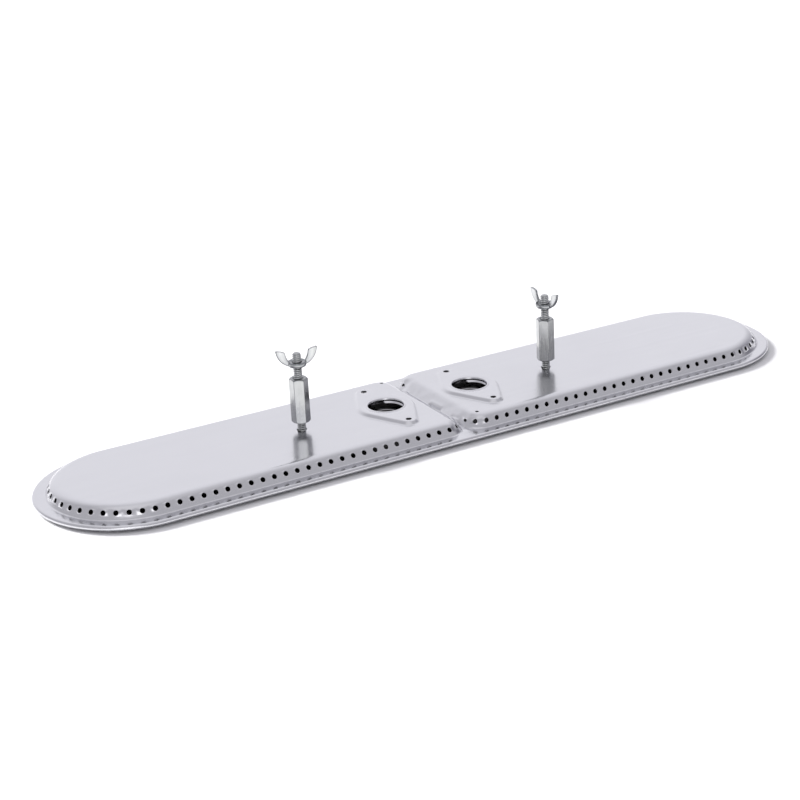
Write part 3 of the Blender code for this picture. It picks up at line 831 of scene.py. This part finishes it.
def build_upper_shell(material, shade_lining):
    bm = bmesh.new()
    feet = {side: add_chamber(bm, side) for side in SIDES.values()}
    runs, right = feet[1]
    left = feet[-1][1]
    hem = add_hem(bm, runs)
    # The chambers' foot rings run from the front groove end round to the back one, then
    # down the groove side, which the pinch strip joins to the other chamber's.
    side_start = next(k for k, run in enumerate(runs) if run > PORTED_RUN + GROOVE_PITCH)
    side_stop = next(k for k, run in enumerate(runs) if run > -PORTED_RUN - GROOVE_PITCH) - 1
    order = list(range(side_start, len(runs))) + list(range(side_stop + 1))
    fold = [[right[k] for k in order]]
    other = [left[k] for k in order[::-1]]
    for share, drop in CREASE_FOLD:
        row = []
        for a, b in zip(fold[0], other):
            point = a.co.lerp(b.co, share)
            point.z -= drop * MM * crease_rise(point.y) / CREASE_RISE
            row.append(point)
        fold.append(ring(bm, row))
    fold.append(other)
    bridge_all(bm, fold, closed=False)
    inner = [right[k] for k in range(side_stop, side_start + 1)]
    inner += [row[0] for row in fold[1:-1]]
    inner += [left[k] for k in range(side_stop, side_start + 1)]
    inner += [row[-1] for row in fold[-2:0:-1]]
    fill_level(bm, [hem, inner], FLANGE_MESH)
    face_up(bm)
    for vert in bm.verts:
        x, y, z = vert.co
        if z > PLATE_Z - FLAT_TOP_MARGIN:
            vert.co.z += sheet_wave(x, y)
        if abs(x) < CRINKLED_X and z > FLANGE_Z - 0.1 * MM and abs(y) < WALL_FOOT_R:
            vert.co.z += crinkle(x, y)
    for sign in (1, -1):
        cut_vent(bm, CORNER_VENT * sign)
    face_up(bm)
    # The shell's lower side and cut edges get the painted shade.
    finish_mesh(
        "formed_upper_shell", bm, material, "burner", "upper_shell",
        sharp=40, thickness=SHEET, under=shade_lining,
    )


# --- Lower shell ---------------------------------------------------------------------


def stadium(radius, height, steps=48, straight=40):
    points = []
    for k in range(steps + 1):
        turn = -math.pi / 2 + math.pi * k / steps
        points.append(Vector((ARC_X + radius * math.cos(turn), radius * math.sin(turn), height)))
    points += [Vector((ARC_X * (1 - 2 * k / straight), radius, height)) for k in range(1, straight)]
    return points + [Vector((-p.x, -p.y, p.z)) for p in points]


def build_lower_shell(material, shade_lining):
    """The smooth pan that closes the burner, with a rounded floor edge."""
    flange_z, floor_z = PAN_HIGH.z, PAN_LOW.z + SHEET
    flange_r, floor_r = LOWER_EDGE_R - PAN_FLANGE_INSET, LOWER_EDGE_R - PAN_FLOOR_INSET
    section = [(LOWER_EDGE_R, flange_z), (flange_r + SUPPORT, flange_z)]
    for k in range(PAN_ROWS + 1):
        share = k / PAN_ROWS
        section.append((mix(flange_r, floor_r, share), mix(flange_z, floor_z, smooth(share))))
    section.append((floor_r - SUPPORT, floor_z))
    bm = bmesh.new()
    rings = [ring(bm, stadium(r, z)) for r, z in section]
    bridge_all(bm, rings)
    fill_level(bm, [rings[-1]], FLOOR_MESH)
    face_up(bm)
    # The pan's upper faces, inside the burner, get the painted shade; its underside gets the shell
    # finish.
    finish_mesh(
        "formed_lower_shell", bm, shade_lining, "burner", "lower_shell",
        sharp=40, thickness=SHEET, under=material,
    )


# --- Gas baffles ---------------------------------------------------------------------


def build_baffle(side, material):
    """Angle strip rolled into an arc: a standing wall whose top turns in to a level shelf."""
    node = f"{side}_gas_baffle"
    low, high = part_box(node)
    x = SIDES[side] * INLET_X
    bend = BAFFLE_BEND
    section = [(BAFFLE_R, low.z), (BAFFLE_R, high.z - bend)]
    for k in range(1, BAFFLE_BEND_STEPS + 1):
        turn = math.pi / 2 * k / BAFFLE_BEND_STEPS
        section.append((
            BAFFLE_R - bend * (1 - math.cos(turn)),
            high.z - bend * (1 - math.sin(turn)),
        ))
    tip_r = BAFFLE_R - BAFFLE_SHELF
    for k in range(1, BAFFLE_SHELF_STEPS + 1):
        section.append((mix(BAFFLE_R - bend, tip_r, k / BAFFLE_SHELF_STEPS), high.z))
    bm = bmesh.new()
    rows = []
    for radius, z in section:
        row = []
        for k in range(BAFFLE_STEPS + 1):
            share = k / BAFFLE_STEPS
            turn = BAFFLE_START + BAFFLE_SWEEP * share
            taper = smooth(min(share, 1 - share) / BAFFLE_TAPER)
            reach = BAFFLE_R - (BAFFLE_R - radius) * mix(BAFFLE_TIP, 1.0, taper)
            row.append((x + reach * math.cos(turn), reach * math.sin(turn), z))
        rows.append(ring(bm, row))
    bridge_all(bm, rows, closed=False)
    face_up(bm)
    finish_mesh(
        f"{side}_rolled_baffle", bm, material, "burner", node,
        sharp=40, thickness=SHEET,
    )


# --- Studs and hardware --------------------------------------------------------------


def stud_place(side):
    low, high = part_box(f"{side}_stud")
    return Vector(((low.x + high.x) / 2, (low.y + high.y) / 2, high.z))


def build_stud(side, material):
    """Threaded stud: one helical ridge, chamfered at the tip, on a flat head."""
    low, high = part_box(f"{side}_stud")
    x = stud_place(side).x
    turns = math.ceil((high.z - low.z) / THREAD_PITCH) + 1
    bottom = low.z + STUD_HEAD / 2
    columns = []
    bm = bmesh.new()
    for c in range(THREAD_AROUND):
        turn = 2 * math.pi * c / THREAD_AROUND
        column = []
        for i in range(-THREAD_ROWS, turns * THREAD_ROWS):
            z = bottom + (i / THREAD_ROWS + c / THREAD_AROUND) * THREAD_PITCH
            phase = (i % THREAD_ROWS) / THREAD_ROWS
            radius = STUD_R - THREAD_DEPTH * min(1.0, abs(2 * phase - 1) * THREAD_FLANK)
            radius = min(radius, STUD_R - STUD_CHAMFER + max(0.0, high.z - z))
            if z <= bottom or z >= high.z:
                z = min(max(z, bottom), high.z)
                radius = STUD_R - STUD_CHAMFER
            column.append((x + radius * math.cos(turn), radius * math.sin(turn), z))
        columns.append(ring(bm, column))
    for here, there in zip(columns, columns[1:]):
        bridge(bm, here, there, closed=False)
    # The thread climbs by one pitch on its way round, so the seam joins rows a turn apart.
    bridge(bm, columns[-1][:-THREAD_ROWS], columns[0][THREAD_ROWS:], closed=False)
    bmesh.ops.remove_doubles(bm, verts=bm.verts, dist=STUD_WELD)
    bmesh.ops.dissolve_degenerate(bm, edges=bm.edges, dist=STUD_WELD)
    bmesh.ops.holes_fill(bm, edges=[e for e in bm.edges if e.is_boundary], sides=0)
    head = [
        (STUD_HEAD_R - STUD_HEAD_EDGE, 0.0), (STUD_HEAD_R, STUD_HEAD_EDGE),
        (STUD_HEAD_R, STUD_HEAD - STUD_HEAD_EDGE), (STUD_HEAD_R - STUD_HEAD_EDGE, STUD_HEAD),
    ]
    rings = [ring(bm, circle((x, 0), r, low.z + rise, 32)) for r, rise in head]
    bridge_all(bm, rings)
    bm.faces.new(rings[0])
    bm.faces.new(rings[-1])
    bmesh.ops.recalc_face_normals(bm, faces=bm.faces)
    finish_mesh(
        f"{side}_threaded_stud", bm, material, "burner", f"{side}_stud",
        sharp=50,
    )


def build_standoff(side, material):
    """Long coupling nut: six flats with broken corners, cone-chamfered and countersunk ends."""
    node = f"{side}_standoff"
    low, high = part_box(node)
    points = np.array([v.co[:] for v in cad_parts[node].data.vertices])
    x = stud_place(side).x
    away = points[:, :2] - np.array((x, 0))
    corner = float(np.hypot(*away.T).max())
    turn0 = math.atan2(*away[np.hypot(*away.T).argmax()][::-1])
    flat = corner * math.cos(math.pi / 6)
    last = math.pi / 6 - STANDOFF_CORNER
    clip = flat / math.cos(last)
    near, far = STANDOFF_COLUMNS
    half = [STANDOFF_MIDDLE, last - far, last - near, last]
    offsets = [-o for o in half[::-1]] + [0.0] + half
    angles = [turn0 + math.pi / 6 + k * math.pi / 3 + o for k in range(6) for o in offsets]
    radii = [min(flat / math.cos(o), clip) for _ in range(6) for o in offsets]
    face_r = flat - STANDOFF_CHAMFER * 0.2
    slope = (corner + STANDOFF_CHAMFER * 0.2 - face_r) / STANDOFF_CHAMFER
    drops = [max(0.0, r - face_r) / slope for r in radii]

    def at_ends(radius, z):
        return [(x + radius * math.cos(a), radius * math.sin(a), z) for a in angles]

    def on_flats(z, way):
        return [
            (x + r * math.cos(a), r * math.sin(a), z + way * drop)
            for a, r, drop in zip(angles, radii, drops)
        ]

    bm = bmesh.new()
    rows = [
        at_ends(BORE_R, high.z - COUNTERSINK),
        at_ends(BORE_R + COUNTERSINK, high.z),
        at_ends(face_r, high.z),
        on_flats(high.z, -1),
        *(on_flats(high.z - inset, -1) for inset in STANDOFF_ROWS),
        *(on_flats(low.z + inset, 1) for inset in STANDOFF_ROWS[::-1]),
        on_flats(low.z, 1),
        at_ends(face_r, low.z),
        at_ends(BORE_R + COUNTERSINK, low.z),
        at_ends(BORE_R, low.z + COUNTERSINK),
    ]
    rings = [ring(bm, row) for row in rows]
    bridge_all(bm, rings)
    bridge(bm, rings[-1], rings[0])
    bmesh.ops.recalc_face_normals(bm, faces=bm.faces)
    finish_mesh(
        f"{side}_hex_standoff", bm, material, f"{side}_standoff", node,
        sharp=18,
    )


def curve_points(ends, steps):
    """Points on a quadratic curve from its first end to its last, drawn towards the middle."""
    a, pull, b = (Vector(point) * MM for point in ends)
    shares = [k / steps for k in range(steps + 1)]
    return [a.lerp(pull, s).lerp(pull.lerp(b, s), s) for s in shares]


def wing_turn(node, x):
    """Angle in plan from one wing tip to the other, read from the node's highest points."""
    points = np.array([v.co[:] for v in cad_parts[node].data.vertices])
    tips = points[points[:, 2] > points[:, 2].max() - 2 * MM][:, :2] - np.array((x, 0))
    _, _, ways = np.linalg.svd(tips, full_matrices=False)
    return math.atan2(ways[0][1], ways[0][0])


def add_wing(bm, way, base):
    """One wing: rungs across it from root to tip, each a rounded bar of four corners."""
    outer = curve_points(WING_OUTER, WING_EDGE_STEPS)
    outer += curve_points(WING_TOP, WING_TIP_STEPS)[1:]
    inner = curve_points(WING_CORNER, WING_TIP_STEPS)
    inner += curve_points(WING_INNER, WING_EDGE_STEPS)[1:]
    rows = []
    for k, (a, b) in enumerate(zip(outer, inner[::-1])):
        middle, reach = (a + b) / 2, (b - a) / 2
        thick = WING_SHEET / 2 * (1 + WING_THICKENING * (1 - k / len(outer)) ** 3)
        row = []
        for j in range(WING_AROUND):
            turn = 2 * math.pi * j / WING_AROUND
            across = math.copysign(abs(math.cos(turn)) ** WING_SQUARENESS[0], math.cos(turn))
            aside = math.copysign(abs(math.sin(turn)) ** WING_SQUARENESS[1], math.sin(turn))
            spot = middle - reach * across
            row.append((way * spot.x, aside * thick, base + spot.y))
        rows.append(ring(bm, row))
    bridge_all(bm, rows)
    bm.faces.new(rows[0])
    bm.faces.new(rows[-1])


def build_wing_nut(side, material):
    """Wing nut: a round hub with a bowl-shaped underside, and two flat wings in one plane."""
    node = f"{side}_wing_nut"
    low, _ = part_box(node)
    x = stud_place(side).x
    bm = bmesh.new()
    for way in (1, -1):
        add_wing(bm, way, low.z)
    top = WING_HUB_HEIGHT
    inset, rise = WING_HUB_CURVE
    hub = [(BORE_R, 0.5 * MM), (BORE_R + 0.5 * MM, 0.0), (WING_HUB_R - inset, 0.0)]
    for k in range(1, 9):
        turn = math.pi / 2 * k / 8
        hub.append((WING_HUB_R - inset * (1 - math.sin(turn)), rise * (1 - math.cos(turn))))
    hub += [
        (WING_HUB_R, top - 0.45 * MM), (WING_HUB_R - 0.15 * MM, top - 0.12 * MM),
        (WING_HUB_R - 0.5 * MM, top), (BORE_R + 0.6 * MM, top), (BORE_R, top - 0.5 * MM),
    ]
    rings = [ring(bm, circle((0, 0), r, low.z + rise, 48)) for r, rise in hub]
    bridge_all(bm, rings)
    bridge(bm, rings[-1], rings[0])
    bmesh.ops.recalc_face_normals(bm, faces=bm.faces)
    place = Matrix.Translation((x, 0, 0)) @ Matrix.Rotation(wing_turn(node, x), 4, "Z")
    bmesh.ops.transform(bm, matrix=place, verts=bm.verts)
    finish_mesh(
        f"{side}_winged_nut", bm, material, f"{side}_wing_nut", node,
        sharp=40,
    )


# --- Setting -------------------------------------------------------------------------

FLOOR_HALF = 12.0


def build_floor():
    bm = bmesh.new()
    bmesh.ops.create_grid(bm, x_segments=1, y_segments=1, size=FLOOR_HALF)
    mesh = bpy.data.meshes.new("floor")
    bm.to_mesh(mesh)
    bm.free()
    floor = bpy.data.objects.new("floor", mesh)
    bpy.context.scene.collection.objects.link(floor)
    made = Finish("pale_floor", (0.8, 0.8, 0.81), 0.7, 0.0)
    made.shader.inputs["Specular IOR Level"].default_value = 0.15
    mesh.materials.append(made.material)


def towards(azimuth, elevation):
    """Direction at these angles in degrees; azimuth 0 is +X."""
    turn, rise = math.radians(azimuth), math.radians(elevation)
    level = math.cos(rise)
    return Vector((math.cos(turn) * level, math.sin(turn) * level, math.sin(rise)))


# Studio light: base brightness, then soft panels as (direction, inner and outer half-angle in
# degrees, colour added at the middle). A negative colour is a dark flag.
STUDIO_BASE = (0.58, 0.575, 0.61)
STUDIO_PANELS = (
    (towards(62, 14), 22, 72, (0.43, 0.43, 0.445)),
    (towards(-118, 16), 7, 21, (1.2, 1.2, 1.2)),
    (towards(-130, 84), 8, 30, (0.3, 0.3, 0.3)),
    (towards(12, 12), 6, 38, (-0.42, -0.42, -0.42)),
)

# Direct light: both lamps stand behind and to the left, so the soft shadow falls in front
LAMP_WAY = towards(114, 30)
LAMP_COLOUR = (1.0, 0.995, 0.98)
SUN_AWAY = 4.0
SUN_POWER = 4.4
SUN_SPREAD = math.radians(24)
SPOT_AWAY = 2.6
SPOT_POWER = 185.0
SPOT_AIM = Vector((-0.15, -0.45, 0.0))
SPOT_CONE = math.radians(46)
SPOT_RADIUS = 0.55


def build_world():
    """Soft studio light, as panels of light on an even surround."""
    world = bpy.data.worlds.new("studio")
    bpy.context.scene.world = world
    world.use_nodes = True
    tree = world.node_tree

    def vector_math(operation, a, b):
        node = tree.nodes.new("ShaderNodeVectorMath")
        node.operation = operation
        for socket, value in zip(node.inputs, (a, b)):
            if isinstance(value, bpy.types.NodeSocket):
                tree.links.new(value, socket)
            else:
                socket.default_value = value
        return node.outputs["Value" if operation == "DOT_PRODUCT" else "Vector"]

    place = tree.nodes.new("ShaderNodeTexCoord").outputs["Generated"]
    total = vector_math("ADD", STUDIO_BASE, (0, 0, 0))
    for way, inner, outer, colour in STUDIO_PANELS:
        share = tree.nodes.new("ShaderNodeMapRange")
        share.interpolation_type = "SMOOTHSTEP"
        tree.links.new(vector_math("DOT_PRODUCT", place, way), share.inputs["Value"])
        share.inputs["From Min"].default_value = math.cos(math.radians(outer))
        share.inputs["From Max"].default_value = math.cos(math.radians(inner))
        total = vector_math("ADD", total, vector_math("MULTIPLY", share.outputs["Result"], colour))
    tree.links.new(total, tree.nodes["Background"].inputs["Color"])


def add_lamp(name, kind, place, power):
    """A lamp that lights the floor without showing in the bright metal."""
    lamp = bpy.data.lights.new(name, kind)
    lamp.energy = power
    lamp.color = LAMP_COLOUR
    holder = bpy.data.objects.new(name, lamp)
    holder.location = place
    holder.rotation_euler = LAMP_WAY.to_track_quat("Z", "Y").to_euler()
    holder.visible_glossy = False
    bpy.context.scene.collection.objects.link(holder)
    return lamp


def build_lamps():
    """Even soft light over the whole floor, and more of it in front of the burner."""
    sun = add_lamp("soft_sun", "SUN", LAMP_WAY * SUN_AWAY, SUN_POWER)
    sun.angle = SUN_SPREAD
    spot = add_lamp("front_spot", "SPOT", SPOT_AIM + LAMP_WAY * SPOT_AWAY, SPOT_POWER)
    spot.spot_size = SPOT_CONE
    spot.spot_blend = 1.0
    spot.shadow_soft_size = SPOT_RADIUS


def build_camera():
    ahead = Vector((
        math.cos(CAMERA_YAW) * math.cos(CAMERA_PITCH),
        math.sin(CAMERA_YAW) * math.cos(CAMERA_PITCH),
        -math.sin(CAMERA_PITCH),
    ))
    right = Vector((math.sin(CAMERA_YAW), -math.cos(CAMERA_YAW), 0))
    up = right.cross(ahead)
    rolled_right = right * math.cos(CAMERA_ROLL) + up * math.sin(CAMERA_ROLL)
    rolled_up = up * math.cos(CAMERA_ROLL) - right * math.sin(CAMERA_ROLL)
    camera = bpy.data.objects.new("camera", bpy.data.cameras.new("camera"))
    camera.data.lens = CAMERA_LENS
    camera.data.clip_start = 0.01
    turn = Matrix((rolled_right, rolled_up, -ahead)).transposed().to_4x4()
    camera.matrix_world = Matrix.Translation(CAMERA_PLACE) @ turn
    bpy.context.scene.collection.objects.link(camera)
    bpy.context.scene.camera = camera


def dress_inner_pieces(steel, weld_nut_shade):
    """The pieces inside the chambers keep their CAD meshes; the weld nuts get the painted shade."""
    for name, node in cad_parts.items():
        if node.hide_render:
            continue
        node.data.materials.clear()
        node.data.materials.append(weld_nut_shade if "weld_nut" in name else steel)


def main():
    scene = bpy.context.scene
    scene.view_settings.view_transform = "Standard"
    shell, steel = shell_finish(), inner_finish()
    # One zinc in two copies: tone 0.82 paints the studs and standoffs darker as painted shade, tone
    # 1.1 paints the wing nuts brighter as painted light.
    zinc = zinc_finish("zinc_plating", 0.82, 0.51, 0.58)
    painted_bright_nut_zinc = zinc_finish("zinc_plating_painted_bright", 1.1, 0.503, 0.535)
    painted_inside_shade = painted_shade_finish()
    build_upper_shell(shell, painted_inside_shade)
    build_lower_shell(shell, painted_inside_shade)
    for side in SIDES:
        build_baffle(side, steel)
        build_stud(side, zinc)
        build_standoff(side, zinc)
        build_wing_nut(side, painted_bright_nut_zinc)
    dress_inner_pieces(steel, painted_inside_shade)
    build_floor()
    build_world()
    build_lamps()
    build_camera()


main()
